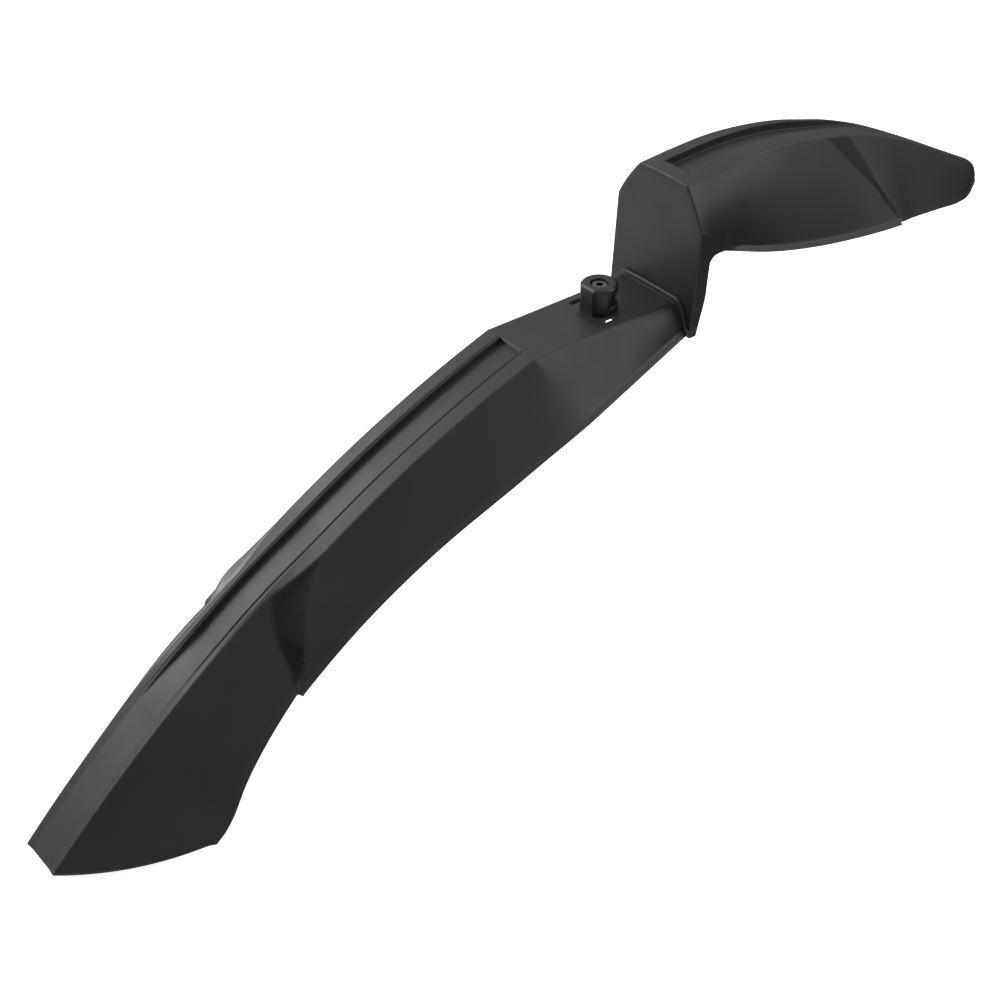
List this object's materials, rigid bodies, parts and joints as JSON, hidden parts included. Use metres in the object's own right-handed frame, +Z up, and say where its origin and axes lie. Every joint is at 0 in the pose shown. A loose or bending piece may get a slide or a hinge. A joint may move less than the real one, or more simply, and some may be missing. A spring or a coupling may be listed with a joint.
{
  "type": "bicycle mudguard",
  "caption": "Front bicycle mudguard hung from a steerer plug: a long creased rear blade with splayed sides and a short hooded nose on an upright wall.",
  "frame": {"origin": "where the plug's axis meets the top of the crown plate", "axes": "+X forward along the bicycle towards the nose, +Z up along the plug into the steerer tube, +Y to the left"},
  "size_m": [0.7191, 0.1168, 0.274],
  "materials": {
    "guard_plastic": "satin black moulded polypropylene with a fine grain",
    "plug_plastic": "black moulded nylon",
    "zinc_steel": "zinc-plated steel"
  },
  "bodies": {
    "root": {"rear_blade": "guard_plastic", "front_nose": "guard_plastic", "steerer_plug": "plug_plastic", "plug_screw": "zinc_steel", "plug_washer": "zinc_steel", "plug_nut": "zinc_steel"}
  },
  "joints": []
}
